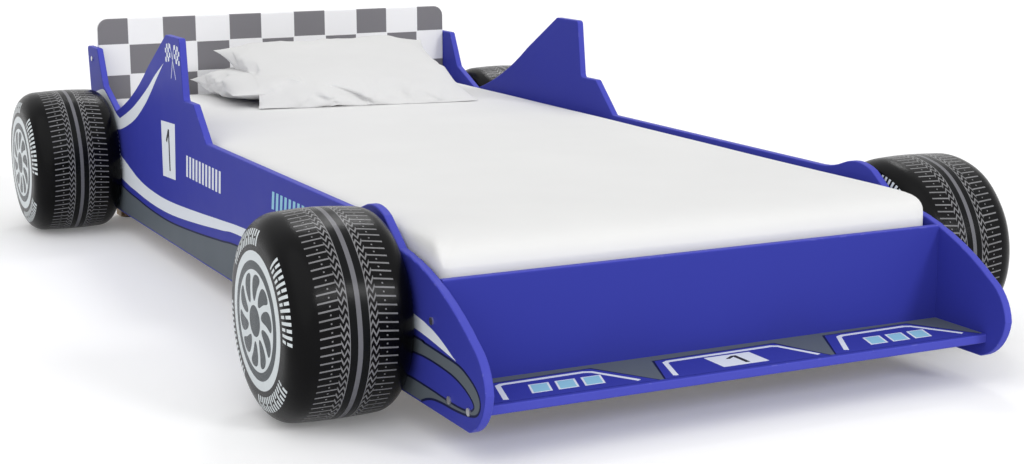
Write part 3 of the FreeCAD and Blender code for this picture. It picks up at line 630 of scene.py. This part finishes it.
def slanted_bars(start, height):
    """Plain slanted bars side by side, each (bottom left, bottom right, top right, top left)."""
    y, z = start
    bars = []
    for _ in range(BAR_COUNT):
        bars.append([(y, z), (y - BAR_WIDTH, z), (y - BAR_WIDTH + BAR_SLANT, z + height),
                     (y + BAR_SLANT, z + height)])
        y -= BAR_WIDTH + BAR_SPACE
    return bars


FLAG_SQUARE = 9.5
FLAG_SQUARES = 4
FLAG_WAVE = 1.8
POLE_WIDTH = 2.6
# foot of the pole, its top, the side that the flag flies to
FLAGS = (((356, 408), (390, 479), 1), ((390, 408), (361, 479), -1))


def flag(foot, top, way):
    """A small chequered flag on a pole: the pole and every other square."""
    shapes = [stripe([foot, top], POLE_WIDTH)]
    for column in range(FLAG_SQUARES):
        for row in range(FLAG_SQUARES):
            if (column + row) % 2:
                continue
            left = top[0] + way * FLAG_SQUARE * column
            right = left + way * FLAG_SQUARE
            first, last = (top[1] - FLAG_SQUARE * row + FLAG_WAVE * math.sin(1.5 * edge)
                           for edge in (column, column + 1))
            shapes.append(area([(left, first), (right, last), (right, last - FLAG_SQUARE),
                                (left, first - FLAG_SQUARE)]))
    return shapes


def panel_prints(side, sign):
    """The same prints on both side panels, mirrored, as thin films on the outer faces."""
    def seat(point, rise):
        return (sign * (PANEL_FACE + rise), point[0] * MM, point[1] * MM)

    prints = Prints(side + "_side_panel", seat)
    slate_line = curve(SLATE_TOP) + [SLATE_TOP[-1]]
    prints.add("slate", 1, area(slate_line + [SLATE_END]))
    prints.add("navy", 2, stripe(slate_line, SLATE_RIM))
    leaf_line = curve(LEAF + [LEAF[0]])
    prints.add("blue", 2, area(leaf_line))
    prints.add("navy", 3, stripe(leaf_line, LEAF_RIM, closed=True))
    prints.add("white", 2, area(outline(*FLASH)))
    prints.add("white", 3, area(outline(STRIPE_TOP, [STRIPE_TIP] + STRIPE_BOTTOM)))
    prints.add("white", 2, area(PLATE))
    prints.add("ink", 3, area(NUMERAL if sign < 0 else mirrored_numeral()))
    for foot, top, way in FLAGS:
        for shape in flag(foot, top, way):
            prints.add("white", 2, shape)
    for colour, start, height in BAR_ROWS:
        for bar in slanted_bars(start, height):
            prints.add(colour, 2, area(bar))
    return prints


def mirrored_numeral():
    """The numeral turned about its middle, so that it reads the right way on the other side."""
    middle = (PLATE[0][0] + PLATE[1][0]) / 2
    return [(2 * middle - y, z) for y, z in NUMERAL]


# ---------------------------------------------------------------- nose shelf's prints, (X, Y) in millimetres
SHELF_FIELDS = [
    [(-449, -1077), (-417, -984), (-222, -977), (-160, -1077)],
    [(-147, -1077), (-112, -984), (112, -978), (150, -1077)],
    [(163, -1077), (214, -975), (382, -971), (446, -1077)],
]
SHELF_BRACKETS = [
    [(-408, -1068), (-388, -999), (-380, -994), (-240, -990), (-228, -995), (-186, -1066)],
    [(-124, -1068), (-102, -1000), (-94, -995), (98, -991), (108, -996), (138, -1066)],
    [(192, -1064), (230, -992), (240, -987), (366, -984), (377, -989), (424, -1064)],
]
SHELF_PLATE = [(-35, -1062), (48, -1062), (48, -1004), (-35, -1004)]
SHELF_GROUND = [(-454, -1077), (454, -1077), (454, -957.5), (-454, -957.5)]
SIGN_STARTS = (-360, 246)
SIGN_COUNT, SIGN_PITCH = 3, 44
SIGN_RIM = [(0, -1056), (34, -1056), (48, -1014), (14, -1014)]
SIGN_FIELD = [(4.5, -1053), (31.5, -1053), (43.5, -1017), (16.5, -1017)]
BRACKET_WIDTH = 8.5
FIELD_RIM = 3.0


def shelf_prints():
    def seat(point, rise):
        return (point[0] * MM, point[1] * MM, SHELF[1].z + rise)

    prints = Prints("nose_shelf", seat)
    prints.add("slate", 1, area(SHELF_GROUND))
    for points in SHELF_FIELDS:
        prints.add("navy", 2, area(grown(points, FIELD_RIM)))
        prints.add("blue", 3, area(points))
    for points in SHELF_BRACKETS:
        prints.add("white", 4, stripe(points, BRACKET_WIDTH))
    prints.add("white", 4, area(SHELF_PLATE))
    prints.add("ink", 5, area(numeral(corner=(-8, -1054), across=(26, 0), up=(0, 42))))
    for start in SIGN_STARTS:
        for count in range(SIGN_COUNT):
            left = start + SIGN_PITCH * count
            for colour, layer, sign in (("white", 4, SIGN_RIM), ("light_blue", 5, SIGN_FIELD)):
                prints.add(colour, layer, area([(left + x, y) for x, y in sign]))
    return prints


def grown(points, width):
    """The same four-sided outline, pushed out at its sides and its back."""
    middle = sum((Vector(point) for point in points), Vector((0, 0))) / len(points)
    out = []
    for point in points:
        away = Vector(point) - middle
        out.append((point[0] + math.copysign(width, away.x), point[1] + (width if away.y > 0 else 0.0)))
    return out


# ---------------------------------------------------------------- wheels
WHEEL_TURNS = 168
WHEEL_BACK = 0.0008
WHEEL_SKIN = 0.0014
WHEEL_FLAT = 0.0004
PUFF_LEVEL, PUFF_RANGE = 0.0011, 0.0016
PUFF_START, PUFF_FADE = 0.07, 0.04


def wheel_profile(width):
    """Points (distance from the panel, radius) from the hole in the back to the middle of the face."""
    tread, inner, outer, dome = 0.1605, 0.038, 0.043, 0.004
    points = [(WHEEL_BACK, radius) for radius in (0.075, 0.09, 0.105)]
    for step in range(9):
        angle = math.pi / 2 * step / 8
        points.append((WHEEL_BACK + inner * (1 - math.cos(angle)), tread - inner + inner * math.sin(angle)))
    face = width - dome
    start, end = inner, face - outer
    for step in range(1, 12):
        share = step / 12
        points.append((start + (end - start) * share, tread + 0.0025 * math.sin(math.pi * share)))
    for step in range(11):
        angle = math.pi / 2 * step / 10
        points.append((face - outer + outer * math.sin(angle), tread - outer + outer * math.cos(angle)))
    rim = tread - outer
    for step in range(1, 10):
        share = step / 9
        points.append((face + dome * math.sin(math.pi / 2 * share), rim * (1 - share)))
    return points


def wheel(name, sign):
    """A padded wheel: a full, faintly uneven cover that flattens a little where it stands on the floor."""
    low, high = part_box(name + "_wheel_cover")
    axle = Vector(((high if sign < 0 else low).x, (low.y + high.y) / 2, (low.z + high.z) / 2))
    profile = wheel_profile(high.x - low.x)
    seed = Vector((sign * 3.1, axle.y * 2.0, 0.0))
    form = bmesh.new()
    rings = []
    for x, radius in profile[:-1]:
        ring = []
        for turn in range(WHEEL_TURNS):
            angle = 2 * math.pi * turn / WHEEL_TURNS
            spot = Vector((x * 9.0, math.cos(angle) * radius * 16.0, math.sin(angle) * radius * 16.0))
            puff = max(0.0, PUFF_LEVEL + PUFF_RANGE * noise.noise(spot + seed))
            puff *= min(1.0, max(0.0, (radius - PUFF_START) / PUFF_FADE))
            y, z = (radius + puff) * math.cos(angle), (radius + puff) * math.sin(angle)
            ring.append(form.verts.new((x, y, max(z, WHEEL_FLAT - axle.z))))
        rings.append(ring)
    for inner, outer in zip(rings, rings[1:]):
        for turn in range(WHEEL_TURNS):
            following = (turn + 1) % WHEEL_TURNS
            form.faces.new([inner[turn], inner[following], outer[following], outer[turn]])
    middle = form.verts.new((profile[-1][0], 0, 0))
    for turn in range(WHEEL_TURNS):
        form.faces.new([rings[-1][turn], rings[-1][(turn + 1) % WHEEL_TURNS], middle])
    bmesh.ops.recalc_face_normals(form, faces=form.faces)
    mesh = bpy.data.meshes.new(name + "_wheel_padded_cover")
    form.to_mesh(mesh)
    form.free()
    shade_smooth(mesh)
    piece = bpy.data.objects.new(mesh.name, mesh)
    bpy.context.scene.collection.objects.link(piece)
    piece.matrix_world = Matrix.Translation(axle) @ Matrix.Rotation(math.pi if sign < 0 else 0.0, 4, "Z")
    skin = piece.modifiers.new("skin", "SOLIDIFY")
    skin.thickness = WHEEL_SKIN
    skin.offset = -1.0
    smooth = piece.modifiers.new("smooth", "SUBSURF")
    smooth.levels = smooth.render_levels = 1
    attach(piece, "frame")
    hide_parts(name + "_wheel_cover")
    return piece


# ---------------------------------------------------------------- soft pieces
def inflate(piece, frames, pressure, stiffness):
    """Blow the piece up as cloth for some frames and keep the result as its mesh."""
    cloth = piece.modifiers.new("cloth", "CLOTH")
    settings = cloth.settings
    settings.quality = 6
    settings.mass = 0.25
    settings.tension_stiffness = settings.compression_stiffness = stiffness
    settings.shear_stiffness = stiffness / 3
    settings.bending_stiffness = 0.4
    settings.air_damping = 2.0
    settings.use_pressure = True
    settings.uniform_pressure_force = pressure
    settings.effector_weights.gravity = 0.0
    cloth.point_cache.frame_start = 1
    cloth.point_cache.frame_end = frames
    scene = bpy.context.scene
    for number in range(1, frames + 1):
        scene.frame_set(number)
    graph = bpy.context.evaluated_depsgraph_get()
    result = bpy.data.meshes.new_from_object(piece.evaluated_get(graph))
    piece.modifiers.clear()
    piece.data = result
    scene.frame_set(1)


PILLOW_COLUMNS, PILLOW_ROWS = 64, 46
PILLOW_WIDTH, PILLOW_DEPTH = 0.56, 0.41
SHEETS_APART = 0.02


def envelope(name, width, depth):
    """Two flat sheets sewn together all round, held apart a little in the middle, and the column and row of
    each of their points."""
    form = bmesh.new()
    layers, places = [], []
    for sign in (1, -1):
        grid = []
        for row in range(PILLOW_ROWS + 1):
            line = []
            for column in range(PILLOW_COLUMNS + 1):
                u, v = column / PILLOW_COLUMNS * 2 - 1, row / PILLOW_ROWS * 2 - 1
                border = row in (0, PILLOW_ROWS) or column in (0, PILLOW_COLUMNS)
                if border and sign < 0:
                    line.append(layers[0][row][column])
                    continue
                rise = SHEETS_APART * ((1 - u * u) * (1 - v * v)) ** 0.5
                lift = 0.0 if border else sign * rise
                line.append(form.verts.new((u * width / 2, v * depth / 2, lift)))
                places.append((column, row))
            grid.append(line)
        layers.append(grid)
    for grid, order in ((layers[0], 1), (layers[1], -1)):
        for row in range(PILLOW_ROWS):
            for column in range(PILLOW_COLUMNS):
                face = [grid[row][column], grid[row][column + 1],
                        grid[row + 1][column + 1], grid[row + 1][column]]
                form.faces.new(face[::order])
    mesh = bpy.data.meshes.new(name)
    form.to_mesh(mesh)
    form.free()
    return mesh, places


def surface_of(pieces):
    """The shapes of some pieces as one tree that can be looked up from above."""
    graph = bpy.context.evaluated_depsgraph_get()
    corners, faces = [], []
    for piece in pieces:
        shape = piece.evaluated_get(graph).to_mesh()
        start = len(corners)
        corners += [piece.matrix_world @ vertex.co for vertex in shape.vertices]
        faces += [[start + index for index in polygon.vertices] for polygon in shape.polygons]
    return BVHTree.FromPolygons(corners, faces)


def pillow(name, tips, draws, crown, belly, under):
    """A pillow blown up from two flat sheets, laid out between its tips and rested on what lies below."""
    mesh, places = envelope(name + "_case", PILLOW_WIDTH, PILLOW_DEPTH)
    piece = bpy.data.objects.new(mesh.name, mesh)
    bpy.context.scene.collection.objects.link(piece)
    inflate(piece, frames=26, pressure=3.2, stiffness=12.0)
    fit_pillow(piece.data, places, tips, draws, crown, belly)
    rest_on(piece, under)
    shade_smooth(piece.data)
    smooth = piece.modifiers.new("smooth", "SUBSURF")
    smooth.levels = smooth.render_levels = 1
    piece.data.materials.append(PILLOW_COTTON)
    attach(piece, name)
    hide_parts(name)
    return piece


WRINKLE_ROUNDS = 5
CORNER_START, CORNER_FADE = 1.35, 0.65
CORNER_THINNING = 0.35
FOLD_HEIGHT = 0.0022


def calm_wrinkles(mesh, points):
    """Draw the height of every point half-way to the mean of its neighbours."""
    sums, counts = [0.0] * len(points), [0] * len(points)
    for edge in mesh.edges:
        first, second = edge.vertices
        for here, there in ((first, second), (second, first)):
            sums[here] += points[there].z
            counts[here] += 1
    for point, total, count in zip(points, sums, counts):
        point.z = (point.z + total / count) / 2


def fit_pillow(mesh, places, tips, draws, crown, belly):
    """Lay the blown-up form out between its tips. The tips are front left, front right, back right and back
    left, and draws are how far its left and right sides draw in, as shares of half its width."""
    points = [vertex.co.copy() for vertex in mesh.vertices]
    for _ in range(WRINKLE_ROUNDS):
        calm_wrinkles(mesh, points)
    high, low = max(point.z for point in points), min(point.z for point in points)
    sides, ends = {}, {}
    for point, (column, row) in zip(points, places):
        if column in (0, PILLOW_COLUMNS):
            sides[column > 0, row] = abs(point.x)
        if row in (0, PILLOW_ROWS):
            ends[row > 0, column] = abs(point.y)
    front_left, front_right, back_right, back_left = (Vector(tip) for tip in tips)
    upwards = (front_right - front_left).cross(back_left - front_left).normalized()
    for vertex, point, (column, row) in zip(mesh.vertices, points, places):
        u = max(-1.0, min(1.0, point.x / sides[point.x > 0, row]))
        v = max(-1.0, min(1.0, point.y / ends[point.y > 0, column]))
        w = point.z / (high if point.z > 0 else -low)
        corner = max(0.0, abs(u) + abs(v) - CORNER_START) / CORNER_FADE
        u *= 1.0 - draws[u > 0] * (1 - v * v) ** 0.8 * abs(u) ** 3
        front = front_left.lerp(front_right, (u + 1) / 2)
        back = back_left.lerp(back_right, (u + 1) / 2)
        lift = w * (crown if w > 0 else belly) * (1.0 - CORNER_THINNING * corner)
        inside = min(1.0, 2.5 * (1 - abs(u))) * min(1.0, 2.5 * (1 - abs(v)))
        fold = FOLD_HEIGHT * noise.noise(Vector((u * 5.0, v * 5.0, w * 2.0 + crown * 100))) * inside
        vertex.co = front.lerp(back, (v + 1) / 2) + upwards * (lift + fold)


def laid_flat(middle, turn, half_width, half_depth, ears):
    """The tips of a pillow that lies level. ears are how far its tips stand out."""
    spin = Matrix.Rotation(math.radians(turn), 4, "Z")
    tips = []
    for (x, y), ear in zip(((-1, -1), (1, -1), (1, 1), (-1, 1)), ears):
        out = Vector((x * (half_width + ear), y * (half_depth + 0.6 * ear), 0))
        tips.append(middle + spin @ out)
    return tips


REST_GAP = 0.0005
RAY_HEIGHT = 2.0


def rest_on(piece, under):
    """Lift what sinks into the pieces below up to just above their surface."""
    tree = surface_of(under)
    for vertex in piece.data.vertices:
        above = Vector((vertex.co.x, vertex.co.y, RAY_HEIGHT))
        hit = tree.ray_cast(above, Vector((0, 0, -1)))[0]
        if hit is not None and vertex.co.z < hit.z + REST_GAP:
            vertex.co.z = hit.z + REST_GAP


# The mattress's edges in metres: (distance in from the edge, drop from the top) at its ends and along its
# sides, and (height, distance in) below.
MATTRESS_END = ((0.0, 0.044), (0.004, 0.030), (0.009, 0.0225), (0.016, 0.017), (0.028, 0.0115),
                (0.045, 0.007), (0.065, 0.004), (0.085, 0.002), (0.13, 0.0))
MATTRESS_SIDE = ((0.0, 0.026), (0.004, 0.015), (0.009, 0.0095), (0.016, 0.006), (0.028, 0.003),
                 (0.045, 0.0015), (0.085, 0.0))
MATTRESS_FOOT = ((0.0, 0.016), (0.009, 0.005), (0.026, 0.0))
MATTRESS_CORNER = 0.027
EDGE_LINES = (0.0, 0.004, 0.009, 0.016, 0.026, 0.036, 0.05, 0.07, 0.1, 0.13)
LINE_PITCH = 0.02
LOW_LEVELS = [0.0, 0.009, 0.026, 0.05, 0.08, 0.105]


def between_points(table, value):
    """Read a table of pairs between its rows."""
    for (start, low), (end, high) in zip(table, table[1:]):
        if value <= end:
            return low + (high - low) * max(0.0, value - start) / (end - start)
    return table[-1][1]


def grid_lines(half):
    """Places of the grid lines across a side: close together near both ends."""
    near = [half - inset for inset in EDGE_LINES]
    count = round(2 * near[-1] / LINE_PITCH)
    inner = [near[-1] - 2 * near[-1] * step / count for step in range(1, count)]
    return near + inner + [-place for place in reversed(near)]


def rounded_mattress():
    """A soft block with round edges, a low crown and upright corners of a small radius."""
    low, high = MATTRESS
    half, height = (high - low) / 2, high.z - low.z
    levels = LOW_LEVELS + [height - MATTRESS_END[0][1], height]
    lines = [grid_lines(half.x), grid_lines(half.y), levels]
    counts = [len(line) - 1 for line in lines]
    middle = Vector(((low.x + high.x) / 2, (low.y + high.y) / 2, low.z))
    form = bmesh.new()
    found = {}

    def corner(key):
        if key not in found:
            spot = [line[index] for line, index in zip(lines, key)]
            found[key] = form.verts.new(middle + mattress_point(spot, half, height))
        return found[key]

    for axis in range(3):
        a, b = (axis + 1) % 3, (axis + 2) % 3
        for level in (0, counts[axis]):
            for i in range(counts[a]):
                for j in range(counts[b]):
                    keys = []
                    for di, dj in ((0, 0), (1, 0), (1, 1), (0, 1)):
                        key = [0, 0, 0]
                        key[axis], key[a], key[b] = level, i + di, j + dj
                        keys.append(corner(tuple(key)))
                    form.faces.new(keys)
    bmesh.ops.recalc_face_normals(form, faces=form.faces)
    mesh = bpy.data.meshes.new("mattress_cover")
    form.to_mesh(mesh)
    form.free()
    return mesh


def mattress_point(spot, half, height):
    """Where a point of the square block comes to lie."""
    x, y, z = spot
    inset = min(half.x - abs(x), half.y - abs(y))
    radius = MATTRESS_CORNER * max(0.0, 1 - inset / EDGE_LINES[-1])
    over_x, over_y = abs(x) - (half.x - inset - radius), abs(y) - (half.y - inset - radius)
    if radius and over_x > 0 and over_y > 0:
        shorten = max(over_x, over_y) / math.hypot(over_x, over_y)
        x = math.copysign(half.x - inset - radius + over_x * shorten, x)
        y = math.copysign(half.y - inset - radius + over_y * shorten, y)
    if z >= height:
        z -= max(between_points(MATTRESS_SIDE, half.x - abs(spot[0])),
                 between_points(MATTRESS_END, half.y - abs(spot[1])))
    pull = between_points(MATTRESS_FOOT, z)
    return Vector((x * (1 - pull / half.x), y * (1 - pull / half.y), z))


MATTRESS_PUFF = 0.004
MATTRESS_REACH = 0.4543
MATTRESS_SWELL = 0.0035
RIPPLE_HEIGHT = 0.0011
RIPPLE_START = 0.05


def mattress():
    """The mattress in its sheet: blown up a little, flat below, and kept inside the bay."""
    mesh = rounded_mattress()
    piece = bpy.data.objects.new("mattress_cover", mesh)
    bpy.context.scene.collection.objects.link(piece)
    before = [vertex.co.copy() for vertex in mesh.vertices]
    inflate(piece, frames=8, pressure=1.2, stiffness=20.0)
    low, high = MATTRESS
    for vertex, start in zip(piece.data.vertices, before):
        moved = vertex.co - start
        if moved.length > MATTRESS_PUFF:
            vertex.co = start + moved.normalized() * MATTRESS_PUFF
        spot = vertex.co
        ripple = noise.noise(Vector((spot.x * 5, spot.y * 3.2, spot.z * 9))) * RIPPLE_HEIGHT
        spot.z += ripple if spot.z > low.z + RIPPLE_START else 0.0
        spot.z = max(spot.z, low.z)
        spot.x = max(-MATTRESS_REACH, min(MATTRESS_REACH, spot.x))
        spot.y = max(low.y - MATTRESS_SWELL, min(high.y + MATTRESS_SWELL, spot.y))
    shade_smooth(piece.data)
    smooth = piece.modifiers.new("smooth", "SUBSURF")
    smooth.levels = smooth.render_levels = 1
    piece.data.materials.append(COTTON)
    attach(piece, "mattress")
    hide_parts("mattress")
    return piece


# ---------------------------------------------------------------- the CAD nodes' materials
BEECH, BEECH_DARK = (0.62, 0.42, 0.24), (0.44, 0.27, 0.14)
PINE, PINE_DARK = (0.68, 0.5, 0.3), (0.5, 0.33, 0.17)
PLYWOOD, PLYWOOD_DARK = (0.6, 0.44, 0.27), (0.45, 0.3, 0.17)


def dress_nodes():
    panel, board, shelf = (blue_board("blue_" + axis, axis) for axis in "XYZ")
    beech = timber("beech", BEECH, BEECH_DARK, "X")
    pine_long = timber("pine_lengthwise", PINE, PINE_DARK, "Y")
    pine_across = timber("pine_across", PINE, PINE_DARK, "X")
    pine_up = timber("pine_upright", PINE, PINE_DARK, "Z")
    ply = timber("plywood", PLYWOOD, PLYWOOD_DARK, "Y")
    steel = plain("zinc_plated_steel", (0.62, 0.62, 0.64), 0.34, metallic=1.0, scale=400.0)
    foam = plain("open_foam", (0.72, 0.68, 0.5), 0.9, scale=260.0, depth=0.0006)
    glide = plain("glide_plastic", (0.02, 0.02, 0.02), 0.5)
    chequers = chequered_board()
    own = {
        "headboard": chequers, "footboard": board, "nose_shelf": shelf,
        "left_side_panel": panel, "right_side_panel": panel,
        "left_bearer": pine_long, "right_bearer": pine_long, "centre_rail": pine_long,
        "foot_cleat": pine_across, "head_cleat": pine_across, "dowels": beech, "floor_glides": glide,
    }
    endings = {"_leg": pine_up, "_foam": foam, "_backing": ply}
    for name, node in nodes.items():
        chosen = own.get(name)
        for ending, material in endings.items():
            if name.endswith(ending):
                chosen = material
        if chosen is None and name.startswith("slat_") and name != "slat_screws":
            chosen = beech
        node.data.materials.clear()
        node.data.materials.append(chosen or steel)


# ---------------------------------------------------------------- the scene
make_camera()
make_studio()
dress_nodes()
COTTON = weave("white_cotton", (0.77, 0.77, 0.765), pitch=0.0007, sheen=0.12, roughness=0.85)
PILLOW_COTTON = weave("pillow_cotton", (0.69, 0.69, 0.687), pitch=0.0007, sheen=0.1, roughness=0.85)
print_materials = {
    "slate": printed("slate_print", SLATE), "navy": printed("navy_print", NAVY),
    "blue": printed("blue_print", BLUE), "white": printed("white_print", WHITE),
    "light_blue": printed("light_blue_print", LIGHT_BLUE), "ink": printed("ink_print", INK),
}
for panel_side, panel_sign in (("left", -1), ("right", 1)):
    panel_prints(panel_side, panel_sign).build(print_materials)
shelf_prints().build(print_materials)
wheel_material = wheel_print()
for wheel_name in WHEELS:
    padded_wheel = wheel(wheel_name, -1 if "left" in wheel_name else 1)
    padded_wheel.data.materials.append(wheel_material)

bed = mattress()
lower_tips = laid_flat(Vector((0.013, HEADBOARD[0].y - 0.247, MATTRESS[1].z + 0.030)), turn=-2.9,
                       half_width=0.260, half_depth=0.187, ears=(0.004, 0.0, 0.0, 0.012))
lower = pillow("lower_pillow", lower_tips, draws=(0.06, 0.06), crown=0.044, belly=0.030, under=[bed])
upper_tips = ((-0.213, 0.610, 0.302), (0.305, 0.519, 0.302), (0.318, 0.891, 0.414), (-0.205, 0.972, 0.405))
pillow("upper_pillow", upper_tips, draws=(0.134, 0.115), crown=0.042, belly=0.026, under=[bed, lower])
